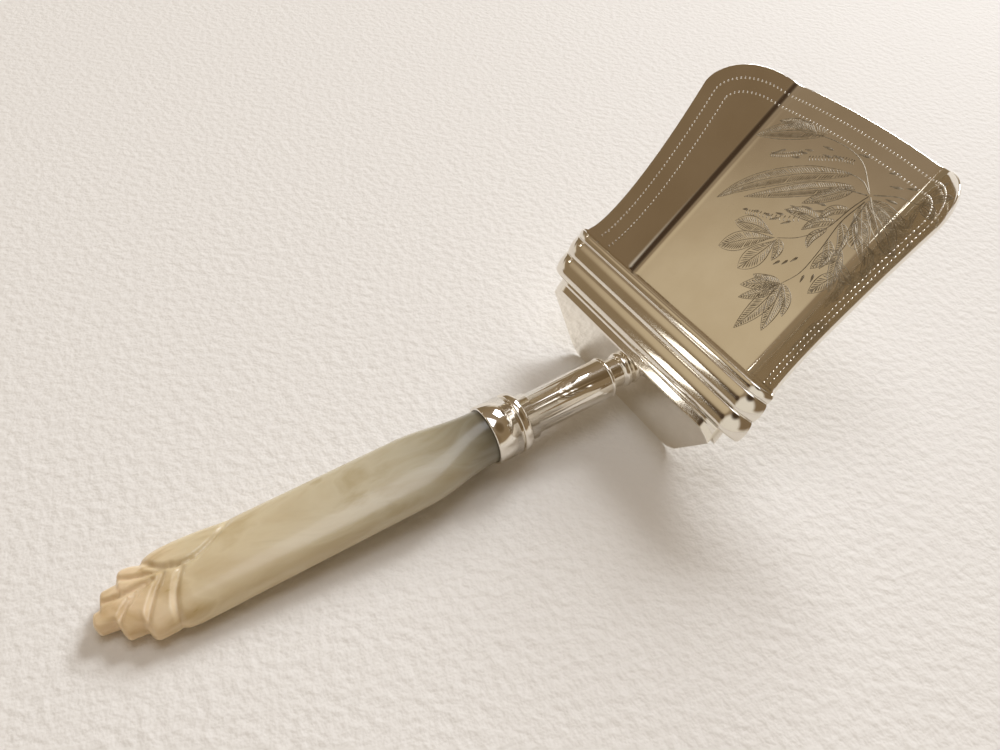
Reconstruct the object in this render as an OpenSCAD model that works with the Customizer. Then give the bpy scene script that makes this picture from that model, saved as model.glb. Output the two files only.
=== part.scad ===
// Silver caddy spoon with a shovel bowl, a reeded hood and a carved mother-of-pearl handle.
// It lies as it rests on a table: on the lower edge of the back plate and on the handle's tip.
// X runs forward from the handle to the bowl, Z is up and Y is across.
// Most pieces are drawn level, with the bowl's floor at z = 0 and the hood's front edge at x = 0.

/* [Bowl] */
// Thickness of the silver sheet that the bowl is folded from
sheet_t = 0.6; // [0.5:0.05:0.8]
// Length of the open pan from the hood to the ends of its front edge
pan_l = 25.7; // [22:0.1:30]
// How far the front edge bows forward at its middle
front_bow = 0.4; // [0:0.1:1.2]
// Height of the side edges above the floor where they meet the hood
wall_h = 5.1; // [4.4:0.05:6]
// Inner radius of the folds between floor and side walls
fold_r = 2.4; // [1.6:0.1:3.2]
// Slope of the side walls in degrees above the floor
wall_slope = 45; // [42:1:52]
// Width over the side edges where they meet the hood
back_w = 29; // [28:0.1:31]
// How much wider the bowl is where its front corners begin
front_flare = 0.6; // [-1:0.1:3]
// How far the side edges draw in at the waist
waist_in = 0.85; // [0:0.05:1.2]
// Length of each rounded front corner
corner_l = 6; // [4:0.1:8]
// Width of each rounded front corner
corner_w = 6; // [4:0.1:7]
// How far the walls draw in on each side from the hood's front edge to the back plate
heel_in = 1.4; // [0.6:0.1:2]

/* [Hood] */
// How far the hood's ends stand out past the side edges
hood_over = 0.4; // [0.2:0.05:1]
// Height of the hood's edge under the reeding
hood_t = 1; // [0.9:0.05:1.3]
// Thickness of the silver in the hood
hood_sheet_t = 0.5; // [0.4:0.05:0.6]
// Slope of the hood in degrees, falling towards the handle
hood_slope = 11; // [8:1:14]
// Width of the narrow front reed
front_reed_w = 0.95; // [0.8:0.05:1.4]
// Width of the middle reed
middle_reed_w = 2.15; // [1.8:0.05:2.8]
// Width of the rear reed
rear_reed_w = 2.35; // [1.8:0.05:2.8]
// Height of a reed as a share of its width
reed_crown = 0.11; // [0.08:0.01:0.14]
// Radius of a reed's rounded edges
reed_edge_r = 0.25; // [0.15:0.05:0.35]
// Radius over which the hood's ends turn down to the side walls
shoulder_r = 2.8; // [2:0.1:3.2]
// Width of the flat strip behind the reeds
strip_w = 0.4; // [0.3:0.05:0.8]
// How far the hood's ends sit below the top of the side edges
hood_seat = 0.2; // [0.1:0.05:0.4]

/* [Back plate] */
// Thickness of the back plate, whose upper edge lies flush with the hood's strip
plate_t = 0.5; // [0.4:0.05:0.8]

/* [Ferrule] */
// Rise of the ferrule and handle in degrees above the bowl's floor
handle_rise = 39.5; // [34:0.5:44]
// Distance from the plate's upper edge down to the ferrule's axis
neck_drop = 1.95; // [1.9:0.05:2.3]
// Length of the whole ferrule
ferrule_l = 16.8; // [15:0.1:19]
// Radius of the collar against the back plate
collar_r = 1.85; // [1.7:0.05:2.1]
// Length of the collar
collar_l = 1; // [0.8:0.1:1.4]
// Radius of the waist between the collar and the tube
waist_r = 1.5; // [1.3:0.05:1.7]
// Length of the waist
waist_l = 1.5; // [1:0.1:2]
// Outer radius of the tube
tube_r = 2.1; // [1.95:0.05:2.3]
// Bore radius of the tube, which holds the tang
tube_bore_r = 1.6; // [1.4:0.05:1.7]
// Radius over the ring beside the mouth band
ring_r = 3.05; // [2.9:0.05:3.3]
// Length of the ring, which falls to the tube in a cove
ring_l = 2; // [1.6:0.1:2.6]
// Width of the groove between the ring and the mouth band
groove_w = 0.35; // [0.2:0.05:0.5]
// Depth of the groove
groove_d = 0.4; // [0.2:0.05:0.5]
// Outer radius of the mouth band
mouth_r = 3.05; // [2.95:0.05:3.3]
// Length of the mouth band
mouth_l = 2.6; // [2:0.1:3.2]
// Radius of the socket inside the mouth band
socket_r = 2.75; // [2.6:0.05:2.8]
// Solid silver left between the bottom of the socket and the groove
socket_back = 0.3; // [0.2:0.05:0.6]

/* [Handle] */
// Length of the handle outside the ferrule
handle_l = 37.2; // [32:0.1:44]
// Width of the plain part of the handle
handle_w = 7.9; // [7:0.1:9]
// Thickness of the plain part of the handle
handle_t = 3.6; // [3:0.1:4.2]
// Length over which the round root widens into the flat oval
root_l = 8; // [5:0.5:10]
// Length of the round tang inside the tube
tang_l = 7.5; // [5:0.5:8.5]
// Gap between the handle and the silver all round
handle_gap = 0.05; // [0.02:0.01:0.1]
// Length of the carved leaf at the tip
leaf_l = 12.4; // [10:0.1:14]
// Depth of the carved grooves in the leaf
leaf_cut = 0.35; // [0.2:0.05:0.6]
// Thickness at the end of the leaf
tip_t = 1.5; // [1.2:0.1:2]

/* [Hidden] */
$fn = 96;
span = 60;
skin = 0.01;

// Side profile of the bowl's walls, worked out at their inner face
fold_out = fold_r * sin(wall_slope);
fold_up = fold_r * (1 - cos(wall_slope));
floor_w = back_w - 2 * (fold_out + (wall_h - fold_up) / tan(wall_slope));
heel_floor_w = floor_w - 2 * heel_in;
wall_over = wall_h * 1.4;

// Outline of the pan, seen square to its floor
front_w = back_w + front_flare;
side_l = pan_l - corner_l;
waist_early = 0.45;
waist_peak = pow(waist_early / (1 + waist_early), waist_early) / (1 + waist_early);
side_steps = 14;
corner_steps = 12;
bow_steps = 6;
front_half = front_w / 2 - corner_w;
function side_half(u) = (back_w + (front_w - back_w) * u) / 2
    - waist_in * pow(u, waist_early) * (1 - u) / waist_peak;
side_edge = [for (i = [0:side_steps]) let (u = pow(i / side_steps, 2)) [u * side_l, side_half(u)]];
corner_edge = [for (i = [1:corner_steps]) let (a = 90 * i / corner_steps)
    [side_l + corner_l * sin(a), front_half + corner_w * cos(a)]];
front_edge = [for (i = [1:bow_steps]) let (v = 1 - i / bow_steps)
    [pan_l + front_bow * (1 - v * v), v * front_half]];
half_outline = concat(side_edge, corner_edge, front_edge);
half_count = len(half_outline);

// Hood: reed starts and widths, measured back along the slope from its front edge
hood_w = back_w + 2 * hood_over;
hood_z = wall_h - hood_seat;
reed_w = [front_reed_w, middle_reed_w, rear_reed_w];
reed_start = [0, front_reed_w, front_reed_w + middle_reed_w];
strip_start = front_reed_w + middle_reed_w + rear_reed_w;
plate_back = strip_start + strip_w + plate_t / cos(handle_rise + hood_slope);

// Round tops and ends of the hood: where each turns down, its outermost point is over the side wall
reed_top_share = 1.6;
function shoulder_reach(top) = sqrt(pow(shoulder_r + top, 2) - pow(shoulder_r - hood_t, 2));
reed_turn_y = hood_w / 2 - shoulder_reach(max(reed_w) * reed_crown);
strip_turn_y = back_w / 2 - heel_in - shoulder_reach(0);

// Where the ferrule's axis meets the back of the plate
plate_top_x = -plate_back * cos(hood_slope) - hood_t * sin(hood_slope);
plate_top_z = hood_z - plate_back * sin(hood_slope) + hood_t * cos(hood_slope);
axis_x = plate_top_x - neck_drop * sin(handle_rise);
axis_z = plate_top_z - neck_drop * cos(handle_rise);
heel_depth = (axis_z + sheet_t) / cos(handle_rise);

// Ferrule: stations along its axis, from the plate to the mouth
tube_start = collar_l + waist_l;
mouth_start = ferrule_l - mouth_l;
ring_end = mouth_start - groove_w;
ring_start = ring_end - ring_l;
socket_start = mouth_start + socket_back;
tang_end = socket_start - tang_l;
tube_bead = 0.4;
lip_bead = 0.3;

// Handle: stations along the ferrule's axis
tip = ferrule_l + handle_l;
leaf_start = tip - leaf_l;
root_r = socket_r - handle_gap;
ring_points = 64;
root_rings = 10;
plain_rings = 4;
leaf_rings = 56;
lead_angle = 6;

// Blend from 0 to 1 that starts and ends softly
function soft(v) = let (c = min(max(v, 0), 1)) c * c * (3 - 2 * c);
function mix(a, b, v) = a + (b - a) * v;

// Lobes of the leaf, from the plain part to the tip. Each has its end, as a share of the leaf's length,
// then its crest and the notch behind it, as shares of half the handle's width.
far_lobes = [[0.61, 1.14, 0.94], [0.785, 1.06, 0.76], [0.925, 0.76, 0.34], [1, 0.32, 0.08]];
near_lobes = [[0.495, 1.01, 0.92], [0.7, 0.94, 0.66], [0.855, 0.63, 0.24], [1, 0.2, 0.06]];
crest_share = 0.72;
function lobe_half(lobes, v, i = 0) = let (
        from = i == 0 ? [0, 1, 1] : lobes[i - 1],
        w = (v - from[0]) / (lobes[i][0] - from[0]),
        rise = sin(90 * min(w / crest_share, 1)),
        fall = sqrt(max(0, 1 - pow(max(0, w - crest_share) / (1 - crest_share), 2))))
    w > 1 && i < len(lobes) - 1 ? lobe_half(lobes, v, i + 1)
        : w < crest_share ? mix(from[2], lobes[i][1], rise) : mix(lobes[i][2], lobes[i][1], fall);

// Carved grooves: each starts by the midrib, is pulled over and ends at a notch, in the same shares
groove_paths = [
    [[-0.05, 0.9], [0.4, -0.42], [0.61, 0.99]],
    [[0.427, 0.37], [0.635, 0.42], [0.785, 0.81]],
    [[0.565, 0.28], [0.774, 0.23], [0.925, 0.43]],
    [[0.36, 0.2], [0.5, -0.36], [0.495, -1.04]],
    [[0.484, 0.3], [0.637, -0.25], [0.7, -0.76]],
    [[0.613, 0.23], [0.782, 0.08], [0.855, -0.33]]];
groove_half = 0.034 * leaf_l;
groove_steps = 6;
function on_leaf(p) = [p[0] * leaf_l, p[1] * handle_w / 2];
function bend(path, w) = on_leaf(path[0]) * (1 - w) * (1 - w)
    + on_leaf(path[1]) * 2 * w * (1 - w) + on_leaf(path[2]) * w * w;
grooves = [for (path = groove_paths) [for (i = [0:groove_steps]) bend(path, i / groove_steps)]];
function gap_to(p, a, b) = norm(p - a - (b - a) * min(max((p - a) * (b - a) / ((b - a) * (b - a)), 0), 1));
function carving(p) = max([for (line = grooves, i = [1:groove_steps])
    max(0, 1 - gap_to(p, line[i - 1], line[i]) / groove_half)]);

function plain_half(t) = mix(root_r, handle_w / 2, soft((t - ferrule_l) / root_l));
function half_width(t, side) = t < leaf_start ? plain_half(t)
    : handle_w / 2 * lobe_half(side > 0 ? far_lobes : near_lobes, (t - leaf_start) / leaf_l);
function half_thick(t) = t < leaf_start ? mix(root_r, handle_t / 2, soft((t - ferrule_l) / root_l))
    : mix(handle_t, tip_t, pow((t - leaf_start) / leaf_l, 2)) / 2;
function oval(v, t) = sign(v) * pow(abs(v), mix(1, 0.85, soft((t - ferrule_l) / root_l)));
function handle_point(t, a) = let (
        side = cos(a) >= 0 ? 1 : -1,
        across = half_width(t, side) * oval(cos(a), t),
        cut = t < leaf_start - leaf_l / 10 ? 0 : leaf_cut * carving([t - leaf_start, across]))
    [(half_thick(t) - cut) * oval(sin(a), t), across, t];
function even_turn(k) = let (a = 360 * k / ring_points) a + lead_angle * sin(2 * a);
stations = concat(
    [socket_start + handle_gap],
    [for (i = [0:root_rings]) ferrule_l + root_l * i / root_rings],
    [for (i = [-plain_rings:leaf_rings]) leaf_start + leaf_l * i / leaf_rings]);

// Tilt at which the spoon rests on the plate's lower edge and on the handle's underside
rest_tilt = min([for (t = stations) if (t > leaf_start - leaf_l) atan2(heel_depth - half_thick(t), t)]);
pan_raise = handle_rise + rest_tilt;
heel_x = axis_x - heel_depth * sin(handle_rise);
heel_z = axis_z - heel_depth * cos(handle_rise);
function rest_x(p) = p[0] * cos(pan_raise) - p[1] * sin(pan_raise);
function rest_z(p) = p[0] * sin(pan_raise) + p[1] * cos(pan_raise);
function on_axis(t, up) = [axis_x - t * cos(handle_rise) + up * sin(handle_rise),
                           axis_z + t * sin(handle_rise) + up * cos(handle_rise)];
front_x = rest_x([pan_l + front_bow, -sheet_t]);
tip_x = rest_x(on_axis(tip, 0)) - half_thick(tip) * sin(rest_tilt);

module at_rest() {
    translate([-(front_x + tip_x) / 2, 0, -rest_z([heel_x, heel_z])]) rotate([0, -pan_raise, 0]) children();
}

module on_ferrule_axis() {
    translate([axis_x, 0, axis_z]) rotate([0, handle_rise - 90, 0]) children();
}

module on_hood_slope() {
    translate([0, 0, hood_z]) rotate([0, -hood_slope, 0]) children();
}

module along_x(length) {
    rotate([90, 0, 90]) linear_extrude(length) children();
}

// Space inside the folded walls, or with grow the same out to their other face
module trough_area(width, grow, top) {
    foot = [width / 2 + (fold_r + grow) * sin(wall_slope), fold_r - (fold_r + grow) * cos(wall_slope)];
    rise = top - foot[1];
    head = [foot[0] + rise / tan(wall_slope), top];
    polygon([[-width / 2, -grow], [width / 2, -grow], foot, head, [-head[0], head[1]], [-foot[0], foot[1]]]);
    for (side = [-1, 1]) translate([side * width / 2, fold_r]) circle(fold_r + grow);
}

module pan_outline() {
    polygon(concat(half_outline,
        [for (i = [half_count - 2:-1:0]) [half_outline[i][0], -half_outline[i][1]]]));
}

// Solid of the bowl's back part: the pan's section at the hood, drawn in to that at the plate
module heel_form(grow, reach) {
    hull() {
        translate([-skin, 0, 0]) along_x(skin + reach) trough_area(floor_w, grow, wall_over);
        intersection() {
            translate([-span / 2, 0, 0]) along_x(span) trough_area(heel_floor_w, grow, wall_over);
            on_ferrule_axis() translate([0, 0, -plate_t - skin / 2 + reach])
                cube([span, span, skin], center = true);
        }
    }
}

module in_front_of_plate() {
    intersection() {
        children();
        on_ferrule_axis() translate([-span / 2, -span / 2, -plate_t - span]) cube(span);
    }
}

module bowl() color("silver") at_rest() {
    intersection() {
        along_x(pan_l + front_bow) difference() {
            trough_area(floor_w, sheet_t, wall_over);
            trough_area(floor_w, 0, wall_over + sheet_t);
        }
        translate([0, 0, -span / 2]) linear_extrude(span) pan_outline();
    }
    in_front_of_plate() difference() {
        intersection() {
            heel_form(sheet_t, 0);
            translate([-span, -back_w / 2, -span / 2]) cube([span, back_w, span]);
        }
        heel_form(0, skin);
        on_hood_slope() translate([-span, -span / 2, 0]) cube([span * 2, span, span]);
    }
}

// Section of one reed, height along X and distance back along Y: a low arc with rounded edges
module reed_section(start, width) {
    top = width * reed_crown;
    arc_r = reed_top_share * width;
    half = width / 2 - reed_edge_r;
    edge_x = top - arc_r + sqrt(pow(arc_r - reed_edge_r, 2) - half * half);
    translate([shoulder_r, start + width / 2]) {
        intersection() {
            translate([top - arc_r, 0]) circle(arc_r);
            translate([-hood_t, -half]) square([hood_t + top, 2 * half]);
        }
        for (side = [-1, 1]) translate([edge_x, side * half]) circle(reed_edge_r);
    }
}

// Runs a section from side to side, flat in the middle and turned down round a shoulder at each end
module over_the_walls(turn_y) {
    translate([0, 0, hood_t - shoulder_r]) {
        rotate([0, -90, 0]) rotate([90, 0, 0]) linear_extrude(2 * turn_y, center = true) children();
        for (side = [-1, 1]) translate([0, side * turn_y, 0]) rotate([0, -90, 0]) rotate_extrude() children();
    }
}

// Outer form of the hood behind its reeds, carried on past the back plate
module strip_form() {
    over_the_walls(strip_turn_y) translate([0, strip_start - skin]) square([shoulder_r, plate_back + hood_t]);
}

module hood() color("gainsboro") at_rest() in_front_of_plate() on_hood_slope() {
    inner_half = strip_turn_y + hood_sheet_t;
    difference() {
        intersection() {
            union() {
                over_the_walls(reed_turn_y) {
                    square([shoulder_r, strip_start]);
                    for (i = [0:len(reed_w) - 1]) reed_section(reed_start[i], reed_w[i]);
                }
                strip_form();
            }
            translate([-span, -span / 2, 0]) cube([span + skin, span, span]);
        }
        translate([-plate_back - span, -inner_half, -span])
            cube([plate_back + span - hood_sheet_t, 2 * inner_half, span + hood_t - hood_sheet_t]);
    }
}

module back_plate() color("lightgray") at_rest() intersection() {
    plate_w = back_w - 2 * heel_in;
    translate([-span / 2, 0, 0]) along_x(span) trough_area(heel_floor_w, sheet_t, wall_over);
    on_ferrule_axis() translate([-span / 2, -plate_w / 2, -plate_t]) cube([span, plate_w, plate_t]);
    on_hood_slope() union() {
        translate([-span, -span / 2, -span]) cube([span, span, span]);
        strip_form();
    }
}

// Half section of the ferrule: radius across, distance from the plate upwards
module ferrule_section() {
    cove_r = ring_r - tube_r;
    difference() {
        union() {
            square([collar_r - collar_l / 4, collar_l]);
            translate([collar_r - collar_l / 2, collar_l / 2]) circle(collar_l / 2);
            square([waist_r, tube_start + tube_bead]);
            translate([0, tube_start]) square([tube_r, ferrule_l - tube_start]);
            translate([tube_r - tube_bead / 4, tube_start + tube_bead / 2]) circle(tube_bead / 2);
            intersection() {
                translate([0, ring_end - cove_r]) square([ring_r, cove_r]);
                translate([tube_r - cove_r / 4, ring_end - cove_r / 4]) circle(cove_r * 1.25);
            }
            translate([0, ring_start]) square([tube_r + cove_r / 3, ring_l]);
            translate([0, ring_end - skin]) square([ring_r - groove_d, groove_w + 2 * skin]);
            translate([0, mouth_start]) square([mouth_r, mouth_l - lip_bead / 2]);
            translate([mouth_r - lip_bead / 2, ferrule_l - lip_bead / 2]) circle(lip_bead / 2);
            translate([0, ferrule_l - lip_bead]) square([mouth_r - lip_bead / 2, lip_bead]);
        }
        translate([-span, 0]) square([span, span]);
        translate([0, tang_end - handle_gap]) square([tube_bore_r, span]);
        translate([0, socket_start]) square([socket_r, span]);
    }
}

module ferrule() color("lightsteelblue") at_rest() on_ferrule_axis() rotate_extrude() ferrule_section();

module carved_body() {
    rings = len(stations);
    points = [for (t = stations, k = [0:ring_points - 1]) handle_point(t, even_turn(k))];
    walls = [for (i = [0:rings - 2], k = [0:ring_points - 1], half = [0, 1]) let (
            a = i * ring_points + k,
            b = i * ring_points + (k + 1) % ring_points)
        half == 0 ? [a, b, a + ring_points] : [b, b + ring_points, a + ring_points]];
    root = [for (k = [ring_points - 1:-1:0]) k];
    end = [for (k = [0:ring_points - 1]) (rings - 1) * ring_points + k];
    polyhedron(points, concat(walls, [root, end]), convexity = 6);
}

module handle() color("wheat") at_rest() on_ferrule_axis() {
    carved_body();
    translate([0, 0, tang_end]) cylinder(r = tube_bore_r - handle_gap, h = tang_l + handle_gap * 2);
}

bowl();
hood();
back_plate();
ferrule();
handle();
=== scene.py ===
"""Looks of a silver caddy spoon with a carved mother-of-pearl handle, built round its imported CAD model.

Sizes are in mm and become metres where a point is put in its place at rest.
"""

import math

import bmesh
import bpy
import numpy as np
from mathutils import Matrix, Vector


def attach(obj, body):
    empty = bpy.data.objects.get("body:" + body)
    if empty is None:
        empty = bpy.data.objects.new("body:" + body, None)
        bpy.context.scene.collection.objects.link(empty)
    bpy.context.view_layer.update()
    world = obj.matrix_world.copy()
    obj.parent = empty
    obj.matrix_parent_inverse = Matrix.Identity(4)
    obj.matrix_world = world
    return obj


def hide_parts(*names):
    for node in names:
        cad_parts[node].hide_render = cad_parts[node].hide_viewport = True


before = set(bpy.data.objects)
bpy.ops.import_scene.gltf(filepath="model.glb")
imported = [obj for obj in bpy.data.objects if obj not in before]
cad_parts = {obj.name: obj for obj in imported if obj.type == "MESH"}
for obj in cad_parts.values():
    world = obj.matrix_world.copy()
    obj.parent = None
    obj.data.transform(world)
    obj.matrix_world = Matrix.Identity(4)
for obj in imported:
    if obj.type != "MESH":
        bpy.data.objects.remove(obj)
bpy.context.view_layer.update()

MM = 0.001

# Place at rest: the pan is raised about the heel, and the handle lies on the table
PAN_RAISE = math.radians(43.4036)
REST_X, REST_Z = 21.2305, 7.9973
HANDLE_RISE = math.radians(39.5)
AXIS_X, AXIS_Z = -7.9453, 3.1107

# Bowl
SHEET_T, RIM_ROUND = 0.6, 0.12
PAN_L, FRONT_BOW = 25.7, 0.4
WALL_H, FOLD_R = 5.1, 2.4
WALL_SLOPE = math.radians(45)
BACK_W, FRONT_W, WAIST_IN, WAIST_EARLY = 29.0, 29.6, 0.85, 0.45
FOLD_OUT = FOLD_R * math.sin(WALL_SLOPE)
FOLD_UP = FOLD_R * (1 - math.cos(WALL_SLOPE))
FLOOR_W = BACK_W - 2 * (FOLD_OUT + (WALL_H - FOLD_UP) / math.tan(WALL_SLOPE))
CORNER_L, CORNER_W = 6.0, 6.0
HEEL_IN = 1.4
# Rows of its mesh along the heel, the sides and the front corners, and points across
HEEL_ROWS, SIDE_ROWS, CORNER_ROWS, ACROSS = 20, 90, 36, 151
# Where the heel's rows start, and where the corners' rows and the points across end, with closer ones after
# them beside the rim
HEEL_FROM, CORNER_TO, ACROSS_TO = 0.04, 1.98, 0.991
BY_THE_FRONT = [1.984, 1.988, 1.992, 1.996, 2.0]
BY_THE_RIM = [0.9935, 0.9955, 0.9972, 0.9985, 0.9995, 1.0]
# Points along the rim in plan, on one side with its corner and on half the front edge
RIM_STEPS, FRONT_STEPS = 160, 80

# Back plate
PLATE_T, PLATE_ROUND = 0.5, 0.18
# Columns of its mesh, and points over its rounded edge
PLATE_COLUMNS, ROUND_STEPS = 121, 7
# A place across where it is still tall, and the step by which its end is looked for from there
TALL_AT, REACH_STEP = 11.0, 0.002

# Hood: the height of its ends over the floor, and its reeds from the front edge back
HOOD_Z, HOOD_T, HOOD_SHEET_T = 4.9, 1.0, 0.5
HOOD_SLOPE = math.radians(11)
HOOD_W = 29.8
REED_W, REED_CROWN, REED_TOP_SHARE, REED_EDGE_R = (0.95, 2.15, 2.35), 0.11, 1.6, 0.25
SHOULDER_R = 2.8
# Points over a reed's rounded edge and its crown, and along an end and the middle of the hood
EDGE_STEPS, CROWN_STEPS, END_STEPS, MIDDLE_STEPS = 9, 31, 28, 61

# Ornament on the bowl's inner face. The borders lie inside the rim by their insets, and the spray stops at
# the rim's land. Dots and cuts are flattened to a share of their height.
BORDER_INSETS, RIM_LAND = (1.45, 2.85), 0.35
DOT_PITCH, DOT_R, DOT_SHARE = 0.45, 0.115, 0.65
LINE_R, STROKE_R, COMMA_R, CUT_SHARE = 0.05, 0.06, 0.14, 0.35
STROKE_PITCH, STROKE_LEAN, FEWEST_STROKES = 0.21, 0.9, 6
# Places between a cut's ends, shares of its width from start to end, and where a blade's cuts start and end
# between its midrib and its edge
CUT_PLACES, CUT_WIDTHS = (0.4, 0.75), np.array([0.3, 0.8, 1.0, 0.35])
BLADE_CUT_FROM, BLADE_CUT_TO = 0.12, 0.86
# How full a blade's outline and its lines are, how much stronger its midrib is, and a stem's swell
BLADE_POWER, TAPER_POWER, TAPER_FROM, MIDRIB_SWELL, STEM_SWELL = 0.8, 0.4, 0.03, 1.1, (0.8, 1.4)
# How far a sprig's cuts reach out from its line and lean ahead
SPRIG_REACH, SPRIG_LEAN = 0.3, 0.35
# Points on a stem, on a sprig, and on the rim's side, corner and front
STEM_STEPS, SPRIG_STEPS = 30, 16
SIDE_POINTS, CORNER_POINTS, FRONT_POINTS = 40, 24, 30
# Evenly spaced places on the whole rim, and how many of them a border leaves out at each end
PATH_STEPS, BORDER_START = 240, 4

# Handle, measured along the ferrule's axis from the back plate
FERRULE_L, SOCKET_L, HANDLE_L = 16.8, 2.3, 37.2
HANDLE_W, HANDLE_T, ROOT_L, ROOT_R = 7.9, 3.6, 8.0, 2.7
# Play between the tang's end and its socket, and how square the oval is (1 is an ellipse)
HANDLE_GAP, OVAL_POWER = 0.05, 0.85
LEAF_L, LEAF_CUT, TIP_T, TIP_ROUND = 12.4, 0.35, 1.5, 0.35
HANDLE_END = FERRULE_L + HANDLE_L
LEAF_START = HANDLE_END - LEAF_L
# Rows of its mesh before the leaf and on it, points round it, and points along a groove
PLAIN_ROWS, LEAF_ROWS, POINTS_ROUND, GROOVE_STEPS = 60, 150, 160, 17

# Sizes of the clouds, marks and grains in the materials
TARNISH_CLOUD, WIPE_MARK, TOOL_MARK, GROWTH_LAYER, CARD_PEBBLE = 5.556, 1.111, 0.4, 11.11, 1.0

# How close points of a new mesh, and of a copied CAD mesh, are merged, in metres
WELD, CAD_WELD = 1e-7, 2e-6
# Slack in a comparison, and the least that a value is divided by
TINY = 1e-9


def pan_to_rest(x, y, z):
    """A point drawn level, with the pan's floor at z = 0, at its place at rest, in metres."""
    c, s = math.cos(PAN_RAISE), math.sin(PAN_RAISE)
    return MM * np.array([REST_X + x * c - z * s, y, REST_Z + x * s + z * c])


def axis_to_rest(along, up, across):
    """A point along the ferrule's axis, counted from the back plate towards the handle's tip."""
    c, s = math.cos(HANDLE_RISE), math.sin(HANDLE_RISE)
    return pan_to_rest(AXIS_X - along * c + up * s, across, AXIS_Z + along * s + up * c)


def soft(v):
    """Blend from 0 to 1 that starts and ends softly."""
    v = min(max(v, 0.0), 1.0)
    return v * v * (3 - 2 * v)


def mix(a, b, v):
    """Blend from a at v = 0 to b at v = 1."""
    return a + (b - a) * v


def gap_to(place, line):
    """Distance from a place to a line of straight pieces."""
    a, d = line[:-1], line[1:] - line[:-1]
    w = np.clip(((place - a) * d).sum(1) / (d * d).sum(1), 0, 1)
    return math.sqrt(((a + d * w[:, None] - place) ** 2).sum(1).min())


def linear_colour(code):
    """An sRGB hex colour as the linear values that a shader takes."""
    parts = [int(code[i:i + 2], 16) / 255 for i in (1, 3, 5)]
    return tuple(p / 12.92 if p <= 0.04045 else ((p + 0.055) / 1.055) ** 2.4 for p in parts) + (1.0,)


def add(tree, kind, links=None, **settings):
    """Adds a node, sets its properties and sockets, and links its inputs. Sockets are named with in_."""
    node = tree.nodes.new(kind)
    for key, value in settings.items():
        if key.startswith("in_"):
            name = key[3:]
            node.inputs[int(name) if name.isdigit() else name.replace("_", " ")].default_value = value
        else:
            setattr(node, key, value)
    for socket, source in (links or {}).items():
        tree.links.new(source, node.inputs[socket])
    return node


def new_material(name):
    """An empty material with its shader and output."""
    material = bpy.data.materials.new(name)
    material.use_nodes = True
    tree = material.node_tree
    tree.nodes.clear()
    shader = add(tree, "ShaderNodeBsdfPrincipled")
    add(tree, "ShaderNodeOutputMaterial", {"Surface": shader.outputs[0]})
    return material, tree, shader


def ramp(tree, source, stops):
    """A colour ramp through (position, hex) stops."""
    node = add(tree, "ShaderNodeValToRGB", {"Fac": source})
    elements = node.color_ramp.elements
    for position, code in stops[1:-1]:
        elements.new(position).color = linear_colour(code)
    elements[0].position, elements[0].color = stops[0][0], linear_colour(stops[0][1])
    elements[-1].position, elements[-1].color = stops[-1][0], linear_colour(stops[-1][1])
    return node


def noise(tree, place, size, detail, **settings):
    """A noise texture whose clouds are this many mm across."""
    return add(tree, "ShaderNodeTexNoise", {"Vector": place}, in_Scale=1 / (size * MM), in_Detail=detail,
               **settings)


def bumps(tree, shader, pattern, strength, height):
    """Bumps up to this many mm high, from a noise."""
    bump = add(tree, "ShaderNodeBump", {"Height": pattern.outputs["Fac"]}, in_Strength=strength,
               in_Distance=height * MM)
    tree.links.new(bump.outputs[0], shader.inputs["Normal"])


def wander_roughness(tree, shader, pattern, low, high):
    """Lets the roughness wander between two values with a noise."""
    gloss = add(tree, "ShaderNodeMapRange", {"Value": pattern.outputs["Fac"]}, in_To_Min=low, in_To_Max=high)
    tree.links.new(gloss.outputs[0], shader.inputs["Roughness"])


def polished_silver():
    """Sterling silver, folded from sheet and hand-polished: a mirror with fine wiping marks,
    and a faint warm tarnish that lies in soft clouds."""
    material, tree, shader = new_material("polished_silver")
    place = add(tree, "ShaderNodeTexCoord").outputs["Object"]
    clouds = noise(tree, place, TARNISH_CLOUD, detail=3.0)
    tone = ramp(tree, clouds.outputs["Fac"], [(0.3, "#E9E3D8"), (0.7, "#F3EFE7")])
    # Real wiping marks are under 0.05 mm wide. These are drawn coarser: 1.1 mm long and a ninth as wide.
    wipes = add(tree, "ShaderNodeMapping", {"Vector": place}, in_Rotation=(0.3, 0.2, 0.6),
                in_Scale=(1.0, 9.0, 4.0))
    marks = noise(tree, wipes.outputs[0], WIPE_MARK, detail=4.0)
    wander_roughness(tree, shader, marks, low=0.03, high=0.12)
    bumps(tree, shader, clouds, strength=0.04, height=0.2)
    tree.links.new(tone.outputs["Color"], shader.inputs["Base Color"])
    shader.inputs["Metallic"].default_value = 1.0
    return material


def bright_cut_silver():
    """Silver where the graver has cut it: narrow facets, duller than the face, painted a darker grey that
    stands in for the darker room they reflect.
    """
    material, tree, shader = new_material("bright_cut_silver")
    place = add(tree, "ShaderNodeTexCoord").outputs["Object"]
    # Real tool marks are about 0.1 mm apart. These are drawn coarser.
    chatter = noise(tree, place, TOOL_MARK, detail=2.0)
    # Painted reflection: these grey tones stand in for the dark parts of the room that the cut facets mirror
    tone = ramp(tree, chatter.outputs["Fac"], [(0.3, "#938A7A"), (0.7, "#BDB3A0")])
    wander_roughness(tree, shader, chatter, low=0.25, high=0.45)
    tree.links.new(tone.outputs["Color"], shader.inputs["Base Color"])
    shader.inputs["Metallic"].default_value = 1.0
    return material


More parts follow.
